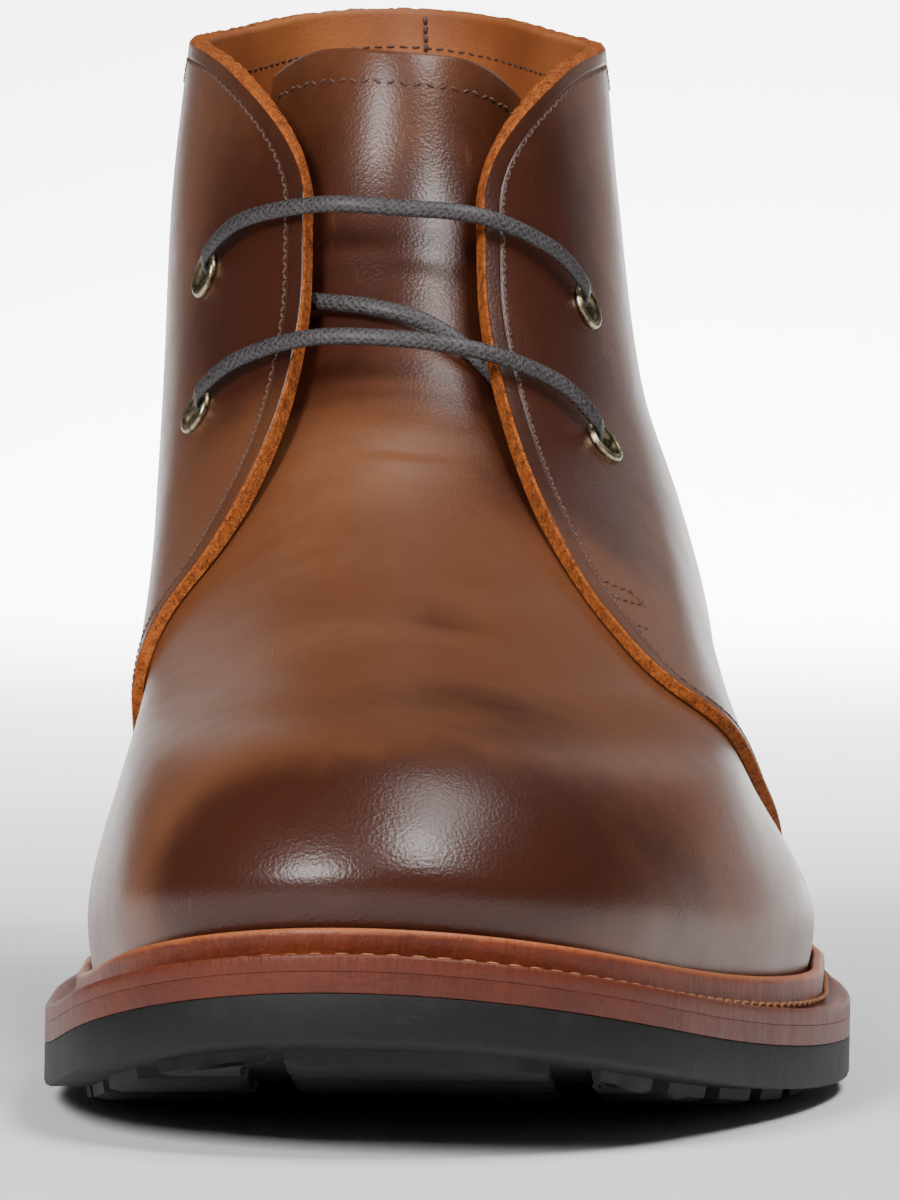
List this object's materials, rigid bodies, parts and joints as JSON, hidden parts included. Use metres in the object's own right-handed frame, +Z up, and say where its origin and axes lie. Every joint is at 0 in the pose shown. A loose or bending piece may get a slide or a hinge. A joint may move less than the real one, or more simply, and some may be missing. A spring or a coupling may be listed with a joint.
{
  "type": "chukka boot",
  "caption": "Ankle-high lace-up boot in plain brown leather, with open quarters over a plain vamp, a storm welt, a leather midsole and a lugged rubber sole with a block heel.",
  "frame": {"origin": "on the floor, under the middle of the box round the boot", "axes": "+Z up, +Y from the toe to the heel, +X to the outer side of the foot"},
  "size_m": [0.1091, 0.3048, 0.1525],
  "materials": {
    "upper_leather": "waxed, burnished pull-up leather",
    "lining_leather": "matt tan",
    "sole_leather": "waxed red-brown edge",
    "rubber": "matt near-black",
    "eyelet_brass": "antiqued",
    "lace_cotton": "waxed braid, dark grey brown"
  },
  "bodies": {
    "root": {"outsole": "rubber", "heel": "rubber", "midsole": "sole_leather", "welt": "sole_leather", "insole": "lining_leather", "upper": "upper_leather", "tongue": "upper_leather", "eyelet_inner_lower": "eyelet_brass", "eyelet_inner_upper": "eyelet_brass", "eyelet_outer_lower": "eyelet_brass", "eyelet_outer_upper": "eyelet_brass", "lace": "lace_cotton"}
  },
  "joints": []
}
